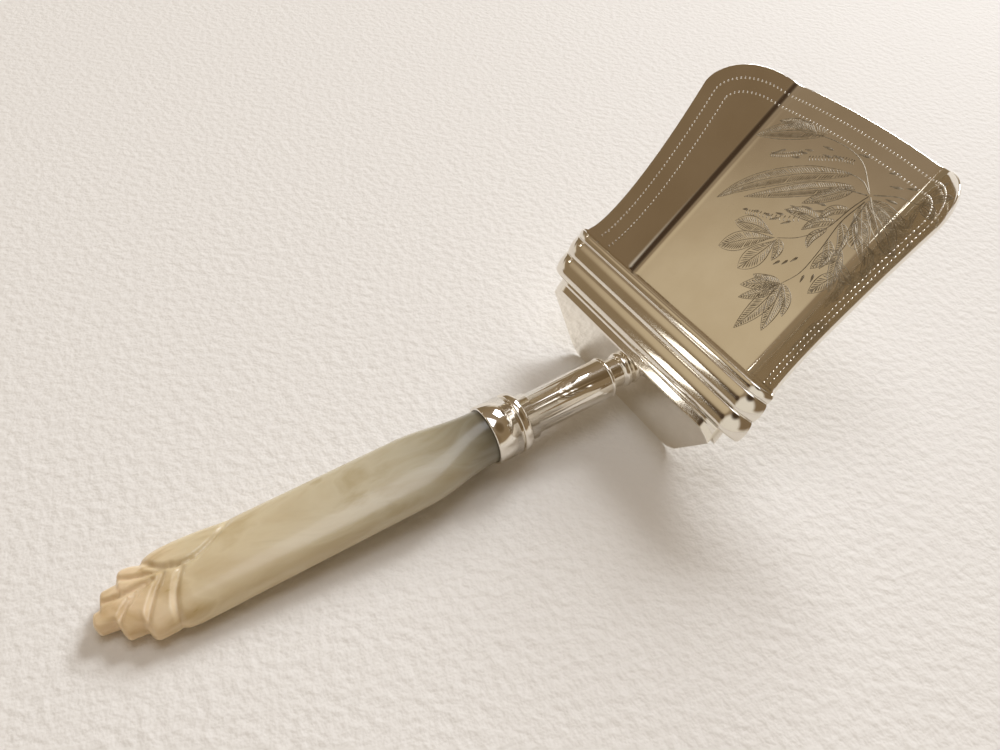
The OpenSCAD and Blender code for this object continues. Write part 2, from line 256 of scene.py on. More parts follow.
def mother_of_pearl():
    """Mother-of-pearl, sawn and polished: cream with cloudy growth layers, and light that sinks in a little
    before it comes back. It is darker and greener by the ferrule, which is painted shade where the bowl's
    shadow falls, and lighter and warmer towards the tip."""
    material, tree, shader = new_material("mother_of_pearl")
    place = add(tree, "ShaderNodeTexCoord").outputs["Object"]
    along = add(tree, "ShaderNodeAttribute", attribute_name="along")
    # Painted shade along the handle: darkest by the ferrule, where the bowl's shadow falls, then lighter and
    # warmer towards the tip
    length = ramp(tree, along.outputs["Fac"],
                  [(0.3, "#6C6858"), (0.4, "#B4AC95"), (0.6, "#CCC0A2"), (0.84, "#DBCAA5"),
                   (0.93, "#EBD2AB")])
    layers = add(tree, "ShaderNodeMapping", {"Vector": place}, in_Rotation=(0.2, 0.1, 0.3),
                 in_Scale=(1.0, 2.2, 5.0))
    growth = noise(tree, layers.outputs[0], GROWTH_LAYER, detail=5.0, in_Distortion=1.2)
    clouds = ramp(tree, growth.outputs["Fac"], [(0.3, "#D9CDB0"), (0.5, "#FFFFFF"), (0.7, "#EDE6DA")])
    colour = add(tree, "ShaderNodeMix", {6: length.outputs["Color"], 7: clouds.outputs["Color"]},
                 data_type="RGBA", blend_type="MULTIPLY", in_0=0.8)
    tree.links.new(colour.outputs[2], shader.inputs["Base Color"])
    wander_roughness(tree, shader, growth, low=0.22, high=0.4)
    shader.inputs["IOR"].default_value = 1.56
    shader.inputs["Subsurface Weight"].default_value = 0.25
    shader.inputs["Subsurface Radius"].default_value = (1.2 * MM, 1.0 * MM, 0.7 * MM)
    shader.inputs["Subsurface Scale"].default_value = 1.0
    shader.inputs["Coat Weight"].default_value = 0.35
    shader.inputs["Coat Roughness"].default_value = 0.12
    return material


def grained_card():
    """Warm white card with a pebbled grain, under the spoon."""
    material, tree, shader = new_material("grained_card")
    place = add(tree, "ShaderNodeTexCoord").outputs["Object"]
    grain = noise(tree, place, CARD_PEBBLE, detail=2.5)
    bumps(tree, shader, grain, strength=0.42, height=0.5)
    shader.inputs["Base Color"].default_value = linear_colour("#EAE6DF")
    shader.inputs["Roughness"].default_value = 0.75
    return material


def add_rows(draft, rows, closed=False, flip=False):
    """Adds a grid of points, one list for each row, and returns the index of each point."""
    points, faces = draft
    start = len(points)
    across = len(rows[0])
    for row in rows:
        points.extend(row)
    index = [[start + r * across + c for c in range(across)] for r in range(len(rows))]
    for r in range(len(rows) - 1):
        for c in range(across if closed else across - 1):
            n = (c + 1) % across
            face = [index[r][c], index[r][n], index[r + 1][n], index[r + 1][c]]
            faces.append(face[::-1] if flip else face)
    return index


def make_piece(name, points, faces, material, sharp=35.0):
    """A closed mesh with its normals outward, as a finished piece."""
    mesh = bpy.data.meshes.new(name)
    mesh.from_pydata([tuple(p) for p in points], [], faces)
    work = bmesh.new()
    work.from_mesh(mesh)
    bmesh.ops.remove_doubles(work, verts=work.verts, dist=WELD)
    bmesh.ops.recalc_face_normals(work, faces=work.faces)
    work.to_mesh(mesh)
    work.free()
    return finish_piece(name, mesh, material, sharp)


def finish_piece(name, mesh, material, sharp):
    """An object of the mesh, shaded smooth except over edges sharper than sharp degrees."""
    mesh.shade_smooth()
    mesh.set_sharp_from_angle(angle=math.radians(sharp))
    mesh.materials.clear()
    mesh.materials.append(material)
    piece = bpy.data.objects.new(name, mesh)
    bpy.context.scene.collection.objects.link(piece)
    return piece


def dressed_copy(name, node, material, sharp=25.0):
    """A merged, smoothly shaded copy of a CAD node's mesh."""
    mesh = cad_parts[node].data.copy()
    work = bmesh.new()
    work.from_mesh(mesh)
    bmesh.ops.remove_doubles(work, verts=work.verts, dist=CAD_WELD)
    work.to_mesh(mesh)
    work.free()
    return finish_piece(name, mesh, material, sharp)


def side_half(u):
    """Half width over the side edges, from the hood at u = 0 to the front corners at u = 1."""
    peak = (WAIST_EARLY / (1 + WAIST_EARLY)) ** WAIST_EARLY / (1 + WAIST_EARLY)
    return mix(BACK_W, FRONT_W, u) / 2 - WAIST_IN * u ** WAIST_EARLY * (1 - u) / peak


def pan_height(y, grow=0.0):
    """Height of the folded sheet's inner face at y, or with grow of its other face."""
    y = abs(y)
    radius = FOLD_R + grow
    fold_out = y - FLOOR_W / 2
    if fold_out <= 0:
        return -grow
    if fold_out < radius * math.sin(WALL_SLOPE):
        return FOLD_R - math.sqrt(radius ** 2 - fold_out ** 2)
    foot = FOLD_R - radius * math.cos(WALL_SLOPE)
    return foot + (fold_out - radius * math.sin(WALL_SLOPE)) * math.tan(WALL_SLOPE)


def pan_row(u, share):
    """A point of the pan in plan. u runs from the hood to the front edge, share from side to side."""
    side_l = PAN_L - CORNER_L
    front_half = FRONT_W / 2 - CORNER_W
    if u <= 1:
        return side_l * u, share * side_half(u)
    turn = u - 1
    # Rows run evenly at the middle and follow the corner's curve at the rim
    even = mix(turn, math.sin(turn * math.pi / 2), abs(share) ** 4)
    half = front_half + CORNER_W * math.cos(turn * math.pi / 2)
    bow = FRONT_BOW * turn ** 2 * (1 - share ** 2)
    return side_l + CORNER_L * even + bow, share * half


def plate_foot(along):
    """Where a face of the back plate meets the level of the pan's floor. Along is the face's place on the
    ferrule's axis: 0 for the rear face and less than 0 for the front face."""
    return AXIS_X - (along + AXIS_Z * math.sin(HANDLE_RISE)) / math.cos(HANDLE_RISE)


def heel_row(w, share, grow):
    """A point of the heel, where the walls draw in from the hood's front edge to the back plate."""
    foot = plate_foot(-PLATE_T)
    lean = math.tan(HANDLE_RISE)
    fall = w * math.tan(HOOD_SLOPE)
    top = (HOOD_Z + fall * foot) / (1 - fall * lean)
    shift = HEEL_IN * w
    rim = min(rim_at_height(top, grow) - shift, BACK_W / 2)
    y = share * rim
    z = pan_height(abs(y) + shift, grow)
    return w * (foot + lean * z), y, z


def rim_at_height(z, grow):
    """How far out the sheet's face is at height z on the wall."""
    radius = FOLD_R + grow
    foot = FOLD_R - radius * math.cos(WALL_SLOPE)
    return FLOOR_W / 2 + radius * math.sin(WALL_SLOPE) + (z - foot) / math.tan(WALL_SLOPE)


def rim_fall(x, y, rim):
    """How far each face of the sheet falls away beside the rounded rim."""
    gap = min(gap_to(np.array([x, abs(y)]), rim), RIM_ROUND)
    return RIM_ROUND - math.sqrt(RIM_ROUND ** 2 - (RIM_ROUND - gap) ** 2)


def make_bowl(material):
    """The bowl: one folded sheet, as an inner and an outer face joined round the rim."""
    shares = np.r_[[-v for v in BY_THE_RIM[::-1]], np.linspace(-ACROSS_TO, ACROSS_TO, ACROSS), BY_THE_RIM]
    stations = np.r_[-np.linspace(1, HEEL_FROM, HEEL_ROWS), np.linspace(0, 1, SIDE_ROWS),
                     np.linspace(1, CORNER_TO, CORNER_ROWS)[1:], BY_THE_FRONT]
    side = [pan_row(u, 1.0) for u in np.linspace(0, 2, RIM_STEPS)]
    front = [pan_row(2.0, v) for v in np.linspace(1, 0, FRONT_STEPS)[1:]]
    rim_plan = np.array(side + front)
    draft = ([], [])
    sheets = []
    for grow in (0.0, SHEET_T):
        rows = []
        for u in stations:
            row = []
            for share in shares:
                if u < 0:
                    row.append(pan_to_rest(*heel_row(-u, share, grow)))
                else:
                    x, y = pan_row(u, share)
                    thinned = grow + math.copysign(rim_fall(x, y, rim_plan), 0.5 * SHEET_T - grow)
                    row.append(pan_to_rest(x, y, pan_height(y, thinned)))
            rows.append(row)
        sheets.append(add_rows(draft, rows, flip=grow > 0))
    inner, outer = sheets
    faces = draft[1]
    rim = ([r[0] for r in inner] + inner[-1][1:] + [r[-1] for r in inner[-2::-1]] + inner[0][-2:0:-1],
           [r[0] for r in outer] + outer[-1][1:] + [r[-1] for r in outer[-2::-1]] + outer[0][-2:0:-1])
    for i in range(len(rim[0])):
        n = (i + 1) % len(rim[0])
        faces.append([rim[0][i], rim[0][n], rim[1][n], rim[1][i]])
    return make_piece("folded_bowl", draft[0], faces, material)


def on_hood_slope(back, up):
    """Where a point of the hood is drawn in x and z, back along its slope from the front edge and up from
    its seat."""
    c, s = math.cos(HOOD_SLOPE), math.sin(HOOD_SLOPE)
    return -back * c - up * s, HOOD_Z - back * s + up * c


def hood_to_rest(back, y, up):
    """The same point at its place at rest."""
    x, z = on_hood_slope(back, up)
    return pan_to_rest(x, y, z)


def plate_at(up, along=-PLATE_T):
    """How far back along the hood's slope a face of the back plate is, at a height over the hood's seat."""
    rise = math.tan(HANDLE_RISE)
    c, s = math.cos(HOOD_SLOPE), math.sin(HOOD_SLOPE)
    return -(plate_foot(along) + rise * HOOD_Z + up * (rise * c + s)) / (c - rise * s)


def reed_profile():
    """The reeds' outline, front to back: places along the slope and heights over the valleys."""
    line = [(0.0, 0.0)]
    start = 0.0
    for width in REED_W:
        arc_r = REED_TOP_SHARE * width
        half = width / 2 - REED_EDGE_R
        top = width * REED_CROWN
        edge_up = top - arc_r + math.sqrt((arc_r - REED_EDGE_R) ** 2 - half ** 2)
        lean = math.asin(half / (arc_r - REED_EDGE_R))
        foot = math.asin(-edge_up / REED_EDGE_R)
        turns = np.linspace(foot, math.pi / 2 - lean, EDGE_STEPS)
        edge = [(REED_EDGE_R - REED_EDGE_R * math.cos(a), edge_up + REED_EDGE_R * math.sin(a))
                for a in turns]
        crown = [(width / 2 + arc_r * math.sin(a), top - arc_r + arc_r * math.cos(a))
                 for a in np.linspace(-lean, lean, CROWN_STEPS)[1:-1]]
        line += [(start + b, up) for b, up in edge + crown + [(width - b, up) for b, up in edge[::-1]]]
        start += width
    return line + [(start, 0.0)]


def over_the_walls(radius, turn_y, shares):
    """Places (y, height over the hood's seat) along a line that turns down over both side walls."""
    drop = SHOULDER_R - HOOD_T
    turn = math.acos(drop / radius)
    flat = shoulder_turn(0.0, BACK_W / 2 - HEEL_IN)
    places = []
    for share in shares:
        side, way = math.copysign(1, share), abs(share)
        if way <= 1:
            places.append((side * way * flat, radius - drop))
            continue
        run = (way - 1) * (turn_y - flat + radius * turn)
        angle = max(run - (turn_y - flat), 0) / radius
        places.append((side * (flat + min(run, turn_y - flat) + radius * math.sin(angle)),
                       radius * math.cos(angle) - drop))
    return places


def shoulder_turn(top, reach):
    """Where a line of the hood starts to turn down, so that it ends at reach from the middle."""
    return reach - math.sqrt((SHOULDER_R + top) ** 2 - (SHOULDER_R - HOOD_T) ** 2)


def make_hood(material):
    """The reeded hood: pressed silver sheet with three reeds and a strip, open underneath."""
    shares = np.r_[np.linspace(-2, -1, END_STEPS), np.linspace(-1, 1, MIDDLE_STEPS)[1:-1],
                   np.linspace(1, 2, END_STEPS)]
    reed_turn = shoulder_turn(max(REED_W) * REED_CROWN, HOOD_W / 2)
    strip_turn = shoulder_turn(0.0, BACK_W / 2 - HEEL_IN)
    inner_r = SHOULDER_R - HOOD_SHEET_T
    outer = [[(b, y, up) for y, up in over_the_walls(SHOULDER_R + top, reed_turn, shares)]
             for b, top in reed_profile()]
    strip = over_the_walls(SHOULDER_R, strip_turn, shares)
    lining = over_the_walls(inner_r, strip_turn, shares)
    outer += [[(sum(REED_W), y, up) for y, up in strip], [(plate_at(up), y, up) for y, up in strip]]
    inner = [[(plate_at(up), y, up) for y, up in lining],
             [(HOOD_SHEET_T, y, up) for y, up in lining],
             [(HOOD_SHEET_T, y, 0.0) for y, up in lining],
             [(0.0, y, 0.0) for b, y, up in outer[0]]]
    draft = ([], [])
    index = add_rows(draft, [[hood_to_rest(*p) for p in row] for row in outer + inner])
    for c in range(len(shares) - 1):
        draft[1].append([index[-1][c], index[-1][c + 1], index[0][c + 1], index[0][c]])
    for end in (0, -1):
        for r in range(1, len(outer) - 1):
            draft[1].append([index[r][end], index[r + 1][end], index[-2][end]])
        draft[1].append([index[0][end], index[1][end], index[-2][end], index[-1][end]])
        draft[1].append([index[len(outer) - 1][end], index[len(outer)][end], index[-3][end], index[-2][end]])
    return make_piece("reeded_hood", draft[0], draft[1], material, sharp=50.0)


def plate_outline(y, along):
    """Lowest and highest place of the back plate at y, at one of its faces, over the ferrule's axis."""
    c, s = math.cos(HANDLE_RISE), math.sin(HANDLE_RISE)
    low = (pan_height(abs(y) + HEEL_IN, SHEET_T) - AXIS_Z - along * s) / c
    turned = max(abs(y) - shoulder_turn(0.0, BACK_W / 2 - HEEL_IN), 0.0)
    up = HOOD_T - SHOULDER_R + math.sqrt(SHOULDER_R ** 2 - turned ** 2)
    x, z = on_hood_slope(plate_at(up, along), up)
    return low, (x - AXIS_X) * s + (z - AXIS_Z) * c


def make_plate(material):
    """The back plate, which closes the bowl behind the hood, with its upper rear edge softly rounded."""
    # The plate reaches out to where its lower and upper edges meet
    reach = TALL_AT
    low, high = plate_outline(reach, 0.0)
    while high > low:
        reach += REACH_STEP
        low, high = plate_outline(reach, 0.0)
    loops = []
    for y in reach * np.sin(np.linspace(-math.pi / 2, math.pi / 2, PLATE_COLUMNS)):
        low, high = plate_outline(y, 0.0)
        front_low, front_high = plate_outline(y, -PLATE_T)
        corner, below, ahead = np.array([0.0, high]), np.array([0.0, low]), np.array([-PLATE_T, front_high])
        room = min(PLATE_ROUND, max(high - low, 0.0) / 2)
        first = mix(corner, below, room / max(high - low, TINY))
        last = mix(corner, ahead, room / np.linalg.norm(ahead - corner))
        turn = [first * (1 - w) ** 2 + corner * 2 * w * (1 - w) + last * w ** 2
                for w in np.linspace(0, 1, ROUND_STEPS)]
        loop = turn + [ahead, np.array([-PLATE_T, front_low]), below]
        loops.append([axis_to_rest(along, up, y) for along, up in loop])
    draft = ([], [])
    index = add_rows(draft, loops, closed=True)
    draft[1].append(index[0][::-1])
    draft[1].append(index[-1])
    return make_piece("closing_plate", draft[0], draft[1], material, sharp=30.0)


def flat_from_plan(x, y):
    """A place on the pan's inner face, seen from above, on that face rolled out flat."""
    out = abs(y) - FLOOR_W / 2
    if out <= 0:
        return x, y
    if out < FOLD_OUT:
        return x, math.copysign(FLOOR_W / 2 + FOLD_R * math.asin(out / FOLD_R), y)
    return x, math.copysign(FLOOR_W / 2 + FOLD_R * WALL_SLOPE + (out - FOLD_OUT) / math.cos(WALL_SLOPE), y)


def fold_back(x, s, z):
    """A point of the flat pattern, z above it, on the folded pan."""
    out = abs(s) - FLOOR_W / 2
    turn = min(max(out / FOLD_R, 0.0), WALL_SLOPE)
    past = max(out - FOLD_R * WALL_SLOPE, 0.0)
    y = min(abs(s), FLOOR_W / 2) + FOLD_R * math.sin(turn) + past * math.cos(WALL_SLOPE) - z * math.sin(turn)
    height = FOLD_R * (1 - math.cos(turn)) + past * math.sin(WALL_SLOPE) + z * math.cos(turn)
    return pan_to_rest(x, math.copysign(y, s), height)


def smooth_path(points, count):
    """A smooth line through the points, as count evenly shared places."""
    p = np.array(points, float)
    p = np.vstack([2 * p[0] - p[1], p, 2 * p[-1] - p[-2]])
    spans = len(p) - 3
    path = []
    for w in np.linspace(0, spans, count):
        i = min(int(w), spans - 1)
        f = w - i
        a, b, c, d = p[i:i + 4]
        path.append(0.5 * (2 * b + (c - a) * f + (2 * a - 5 * b + 4 * c - d) * f ** 2
                           + (3 * b - a - 3 * c + d) * f ** 3))
    return np.array(path)


def inset_path(path, distance):
    """The path moved sideways to its right by distance."""
    along = np.gradient(path, axis=0)
    along /= np.linalg.norm(along, axis=1)[:, None]
    return path + distance * np.column_stack([along[:, 1], -along[:, 0]])


def rim_path():
    """The rim on the flat pattern, from the hood up the left side, across the front and down the right."""
    stations = np.r_[np.linspace(0, 1, SIDE_POINTS), np.linspace(1, 2, CORNER_POINTS)[1:]]
    half = [pan_row(u, 1.0) for u in stations]
    front = [pan_row(2.0, v) for v in np.linspace(1, -1, FRONT_POINTS)[1:-1]]
    back = [(x, -y) for x, y in half[::-1]]
    flat = np.array([flat_from_plan(x, y) for x, y in half + front + back])
    steps = np.r_[0, np.cumsum(np.linalg.norm(np.diff(flat, axis=0), axis=1))]
    even = np.linspace(0, steps[-1], PATH_STEPS)
    return np.column_stack([np.interp(even, steps, flat[:, 0]), np.interp(even, steps, flat[:, 1])])


def curve_object(name, lines):
    """A curve with one spline for each (points, radii) pair, flat in the pattern's plane."""
    data = bpy.data.curves.new(name, "CURVE")
    data.dimensions = "3D"
    for points, radii in lines:
        spline = data.splines.new("POLY")
        spline.points.add(len(points) - 1)
        for point, place, radius in zip(spline.points, points, radii):
            point.co = (place[0], place[1], 0, 1)
            point.radius = radius
    thing = bpy.data.objects.new(name, data)
    bpy.context.scene.collection.objects.link(thing)
    return thing


def new_node_tree(name, sizes):
    """A geometry tree with a curve going in, the named sizes, and a mesh coming out."""
    tree = bpy.data.node_groups.new(name, "GeometryNodeTree")
    tree.interface.new_socket("Geometry", in_out="INPUT", socket_type="NodeSocketGeometry")
    for size in sizes:
        tree.interface.new_socket(size, in_out="INPUT", socket_type="NodeSocketFloat")
    tree.interface.new_socket("Material", in_out="INPUT", socket_type="NodeSocketMaterial")
    tree.interface.new_socket("Geometry", in_out="OUTPUT", socket_type="NodeSocketGeometry")
    return tree, add(tree, "NodeGroupInput").outputs


def close_tree(tree, geometry, material):
    """Ends a geometry tree with real meshes in the given material."""
    real = add(tree, "GeometryNodeRealizeInstances", {"Geometry": geometry})
    dressed = add(tree, "GeometryNodeSetMaterial", {"Geometry": real.outputs[0], "Material": material})
    add(tree, "NodeGroupOutput", {"Geometry": dressed.outputs[0]})
    return tree


def pricked_border():
    """Dots pricked at an even pitch along a line."""
    tree, given = new_node_tree("pricked_border", ["Pitch", "Dot Radius"])
    places = add(tree, "GeometryNodeCurveToPoints", {"Curve": given["Geometry"], "Length": given["Pitch"]},
                 mode="LENGTH")
    dot = add(tree, "GeometryNodeMeshIcoSphere", {"Radius": given["Dot Radius"]}, in_Subdivisions=2)
    dots = add(tree, "GeometryNodeInstanceOnPoints",
               {"Points": places.outputs["Points"], "Instance": dot.outputs[0]})
    return close_tree(tree, dots.outputs[0], given["Material"])


def graver_lines():
    """Lines of the graver: ridged strips as wide as the curve's radius, pointed where it is nothing."""
    tree, given = new_node_tree("graver_lines", [])
    edge = add(tree, "GeometryNodeCurvePrimitiveCircle", in_Resolution=4, in_Radius=1.0)
    reach = add(tree, "GeometryNodeInputRadius")
    strip = add(tree, "GeometryNodeCurveToMesh",
                {"Curve": given["Geometry"], "Profile Curve": edge.outputs[0], "Scale": reach.outputs[0]},
                in_Fill_Caps=True)
    return close_tree(tree, strip.outputs[0], given["Material"])


def worked_mesh(source, tree, sizes):
    """Runs a geometry tree on a curve, returns its mesh as points and faces, and removes the curve."""
    modifier = source.modifiers.new("work", "NODES")
    modifier.node_group = tree
    for socket in tree.interface.items_tree:
        if socket.in_out == "INPUT" and socket.name in sizes:
            modifier[socket.identifier] = sizes[socket.name]
    view = bpy.context.evaluated_depsgraph_get()
    view.update()
    evaluated = source.evaluated_get(view)
    mesh = bpy.data.meshes.new_from_object(evaluated, depsgraph=view)
    points = np.zeros(len(mesh.vertices) * 3)
    mesh.vertices.foreach_get("co", points)
    faces = [list(p.vertices) for p in mesh.polygons]
    bpy.data.objects.remove(source)
    bpy.data.meshes.remove(mesh)
    return points.reshape(-1, 3), faces


# The spray of flowers, in plan: x forward from the hood, y to the left
STEMS = [
    [(20.9, 5.2), (22.3, 3.4), (22.8, 0.2), (22.3, -2.6), (20.4, -5.2)],
    [(19.2, 0.8), (20.6, -1.6), (20.9, -3.8), (20.2, -5.4)],
    [(17.6, -0.6), (19.2, -2.8), (20.0, -5.3)],
    [(11.9, -1.2), (13.2, -3.0), (15.4, -4.5), (18.2, -5.0), (20.0, -5.5)],
    [(8.6, -5.0), (10.6, -5.7), (13.3, -5.6), (16.6, -5.2), (19.4, -5.6)],
    [(12.2, -8.8), (13.8, -7.6), (16.2, -6.4), (19.4, -5.8)],
    [(17.9, -8.6), (19.0, -7.0), (20.0, -5.7)],
    [(21.6, -10.2), (21.4, -8.0), (20.3, -5.8)]]
# Where a leaf and a petal are widest, as a share of their length
LEAF, PETAL = 0.42, 0.66
# Leaves and petals: half width, where they are widest, then the midrib from its root to its tip
BLADES = [
    (1.05, LEAF, [(22.9, 2.6), (21.9, 5.2), (20.6, 7.2), (19.1, 9.0)]),
    (0.55, LEAF, [(22.4, 3.6), (22.3, 6.0), (21.6, 8.0)]),
    (0.95, LEAF, [(20.9, -2.6), (18.7, 1.2), (16.2, 4.2), (13.9, 6.2), (11.6, 7.5)]),
    (0.75, LEAF, [(20.0, -3.6), (17.9, -0.6), (15.9, 1.9), (13.3, 5.0)]),
    (0.7, LEAF, [(19.9, -3.9), (18.0, -2.2), (16.0, -0.6)]),
    (0.85, PETAL, [(11.9, -0.7), (11.7, 1.6), (10.8, 3.8)]),
    (1.05, PETAL, [(11.8, -1.0), (10.1, 1.2), (7.8, 3.3)]),
    (1.1, PETAL, [(11.8, -1.3), (9.8, -0.9), (7.2, -0.2)]),
    (0.5, LEAF, [(11.9, -1.5), (11.0, -2.2), (9.8, -2.5)]),
    (0.8, LEAF, [(8.6, -4.9), (7.6, -3.5), (6.1, -1.7)]),
    (0.6, LEAF, [(8.6, -4.9), (8.0, -3.6), (7.7, -2.0)]),
    (0.95, LEAF, [(8.6, -5.0), (5.6, -4.9), (2.4, -4.5)]),
    (0.6, LEAF, [(8.4, -4.9), (6.6, -3.9), (5.0, -2.5)]),
    (0.85, LEAF, [(8.6, -5.1), (6.4, -6.1), (3.9, -6.9)]),
    (0.55, LEAF, [(8.7, -5.2), (7.6, -6.6), (6.2, -7.5)]),
    (1.0, LEAF, [(19.6, -5.8), (18.4, -8.6), (17.0, -11.2), (16.0, -13.2)]),
    (0.8, LEAF, [(19.7, -5.9), (19.4, -8.6), (18.9, -11.4)]),
    (0.8, LEAF, [(19.0, -5.6), (16.8, -7.6), (14.6, -9.8)]),
    (0.6, LEAF, [(14.6, -7.0), (12.6, -8.2), (10.6, -9.4)]),
    (0.55, LEAF, [(13.4, -7.8), (12.6, -9.6), (12.2, -11.2)]),
    (0.55, LEAF, [(21.6, -10.3), (21.0, -12.2), (20.2, -13.6)]),
    (0.5, LEAF, [(21.6, -10.3), (22.4, -12.2), (22.6, -13.6)]),
    (0.5, LEAF, [(21.6, -10.3), (23.4, -10.9), (24.2, -11.4)]),
    (0.5, LEAF, [(21.6, -10.3), (19.9, -11.0), (18.9, -11.8)]),
    (0.45, LEAF, [(15.4, -4.6), (13.9, -4.0), (12.8, -4.4)]),
    (0.5, LEAF, [(16.4, -4.8), (15.2, -3.2), (13.9, -2.6)]),
    (0.5, LEAF, [(18.0, -5.0), (17.0, -3.6), (15.6, -3.2)]),
    (0.5, LEAF, [(14.6, -5.5), (13.4, -6.6), (11.9, -6.9)]),
    (0.5, LEAF, [(16.6, -5.3), (15.4, -6.6), (13.8, -7.2)]),
    (0.6, LEAF, [(15.6, -3.3), (15.3, -1.4), (14.6, 0.3)]),
    (1.0, PETAL, [(18.0, -5.6), (16.9, -7.0), (15.2, -8.2)]),
    (0.8, LEAF, [(12.4, -8.7), (11.0, -8.2), (9.4, -7.8)]),
    (0.7, PETAL, [(12.4, -9.0), (11.4, -10.2), (10.0, -11.0)]),
    (0.7, LEAF, [(16.0, -9.2), (14.4, -11.0), (13.2, -12.4)]),
    (0.7, LEAF, [(14.2, -7.6), (13.0, -6.6), (11.4, -6.2)])]
# Small commas of the graver: from and to
COMMAS = [
    ((18.2, 6.1), (18.9, 5.5)), ((18.8, 5.7), (19.5, 5.0)), ((19.4, 4.4), (19.9, 3.5)),
    ((19.2, 3.9), (19.6, 3.1)), ((20.0, 3.6), (20.3, 2.8)), ((20.5, 3.3), (20.8, 2.5)),
    ((12.2, 4.1), (12.5, 3.6)), ((12.7, 3.0), (13.0, 2.4)), ((13.1, 1.9), (13.3, 1.1)),
    ((12.9, 0.9), (13.6, 0.2)), ((13.8, 0.9), (14.1, 0.0)), ((14.6, 0.4), (14.8, -0.6)),
    ((13.2, -0.4), (14.0, -1.1)), ((15.2, 0.2), (15.4, -0.9)), ((14.9, -1.0), (15.5, -2.0)),
    ((15.8, -0.8), (16.1, -2.0)), ((16.0, -2.1), (16.6, -3.2)), ((16.8, -1.6), (17.1, -2.8)),
    ((9.6, -2.9), (10.3, -3.2)), ((10.1, -3.6), (10.8, -3.8)), ((10.8, -4.1), (11.6, -4.4)),
    ((9.8, -6.4), (10.6, -6.2)), ((10.4, -7.2), (11.2, -6.9)), ((17.2, -6.4), (16.4, -7.3)),
    ((20.6, -7.0), (20.8, -8.2)), ((21.8, -6.4), (22.2, -7.6)), ((22.4, -7.8), (22.9, -8.9)),
    ((22.8, -5.4), (23.2, -6.4)), ((15.2, -9.4), (14.4, -10.6)), ((16.2, -8.8), (15.6, -10.2)),
    ((22.8, -1.6), (23.1, -2.8)), ((21.7, 2.0), (21.9, 0.8)), ((21.5, 0.4), (21.6, -0.8)),
    ((21.0, 1.4), (21.2, 0.4))]
# Wriggled sprigs of short cuts
SPRIGS = [
    [(20.0, 2.3), (20.8, 0.9), (21.6, -0.6), (22.0, -2.0)],
    [(12.2, 3.6), (12.8, 2.2), (13.6, 0.2), (14.8, -1.9)],
    [(18.3, 6.0), (19.0, 4.7), (20.2, 3.2)]]


def stroke(start, end, width):
    """One cut of the graver: it enters thin, swells and lifts out."""
    between = [mix(start, end, v) for v in CUT_PLACES]
    return np.array([start, *between, end]), width * CUT_WIDTHS


def blade_lines(half, widest, midrib):
    """A leaf's outline and midrib, and the slanting cuts that fill it on both sides of the midrib."""
    flat = [flat_from_plan(*p) for p in midrib]
    length = sum(math.dist(a, b) for a, b in zip(flat, flat[1:]))
    count = max(int(length / STROKE_PITCH), FEWEST_STROKES)
    rib = smooth_path(flat, count)
    u = np.linspace(0, 1, count)
    width = half * np.sin(math.pi * u ** (math.log(0.5) / math.log(widest))) ** BLADE_POWER
    taper = LINE_R * np.sin(math.pi * np.clip(u, TAPER_FROM, 1 - TAPER_FROM)) ** TAPER_POWER
    edges = [inset_path(rib, side * width[:, None]) for side in (-1, 1)]
    lines = [(edge, taper) for edge in edges] + [(rib, taper * MIDRIB_SWELL)]
    for edge in edges:
        for i in range(1, count - 2):
            ahead = min(i + max(int(STROKE_LEAN * width[i] / STROKE_PITCH), 1), count - 1)
            start = mix(rib[i], edge[ahead], BLADE_CUT_FROM)
            lines.append(stroke(start, mix(rib[i], edge[ahead], BLADE_CUT_TO), STROKE_R))
    return lines


def sprig_lines(path):
    """Short cuts in a row on both sides of a line."""
    line = smooth_path([flat_from_plan(*p) for p in path], SPRIG_STEPS)
    return [stroke(place, place + side * SPRIG_REACH * (across - place) + SPRIG_LEAN * (after - place),
                   STROKE_R)
            for side in (-1, 1)
            for place, after, across in zip(line, line[1:], inset_path(line, 1.0))]


def inside(place, outline):
    """Whether a place of the flat pattern lies inside a closed outline."""
    a, b = outline, np.roll(outline, -1, axis=0)
    spans = (a[:, 1] > place[1]) != (b[:, 1] > place[1])
    a, b = a[spans], b[spans]
    crossings = a[:, 0] + (place[1] - a[:, 1]) * (b[:, 0] - a[:, 0]) / (b[:, 1] - a[:, 1])
    return (crossings > place[0]).sum() % 2 == 1


def on_the_pan(name, lines, tree, sizes, share):
    """Runs a tree on flat lines and lays what it makes on the folded pan, at a share of its height."""
    flat, faces = worked_mesh(curve_object("pattern", lines), tree, sizes)
    points = [fold_back(x, s, z * share) for x, s, z in flat]
    return make_piece(name, points, faces, sizes["Material"], sharp=20.0)


def make_borders(material):
    """The two borders of pricked dots that follow the rim."""
    rim = rim_path()
    borders = [inset_path(rim, inset)[BORDER_START:-BORDER_START] for inset in BORDER_INSETS]
    lines = [(border, np.ones(len(border))) for border in borders]
    return on_the_pan("pricked_borders", lines, pricked_border(),
                      {"Pitch": DOT_PITCH, "Dot Radius": DOT_R, "Material": material}, DOT_SHARE)


def make_spray(material):
    """The spray of flowers, bright-cut on the pan's inner face."""
    lines = []
    swell = LINE_R * np.linspace(*STEM_SWELL, STEM_STEPS)
    for path in STEMS:
        lines.append((smooth_path([flat_from_plan(*p) for p in path], STEM_STEPS), swell))
    for half, widest, midrib in BLADES:
        lines += blade_lines(half, widest, midrib)
    for start, end in COMMAS:
        lines.append(stroke(np.array(flat_from_plan(*start)), np.array(flat_from_plan(*end)), COMMA_R))
    for path in SPRIGS:
        lines += sprig_lines(path)
    land = inset_path(rim_path(), RIM_LAND)
    kept = []
    for points, radii in lines:
        clear = np.array([inside(p, land) for p in points])
        if clear.sum() > 1:
            kept.append((points[clear], radii[clear]))
    return on_the_pan("bright_cut_spray", kept, graver_lines(), {"Material": material}, CUT_SHARE)


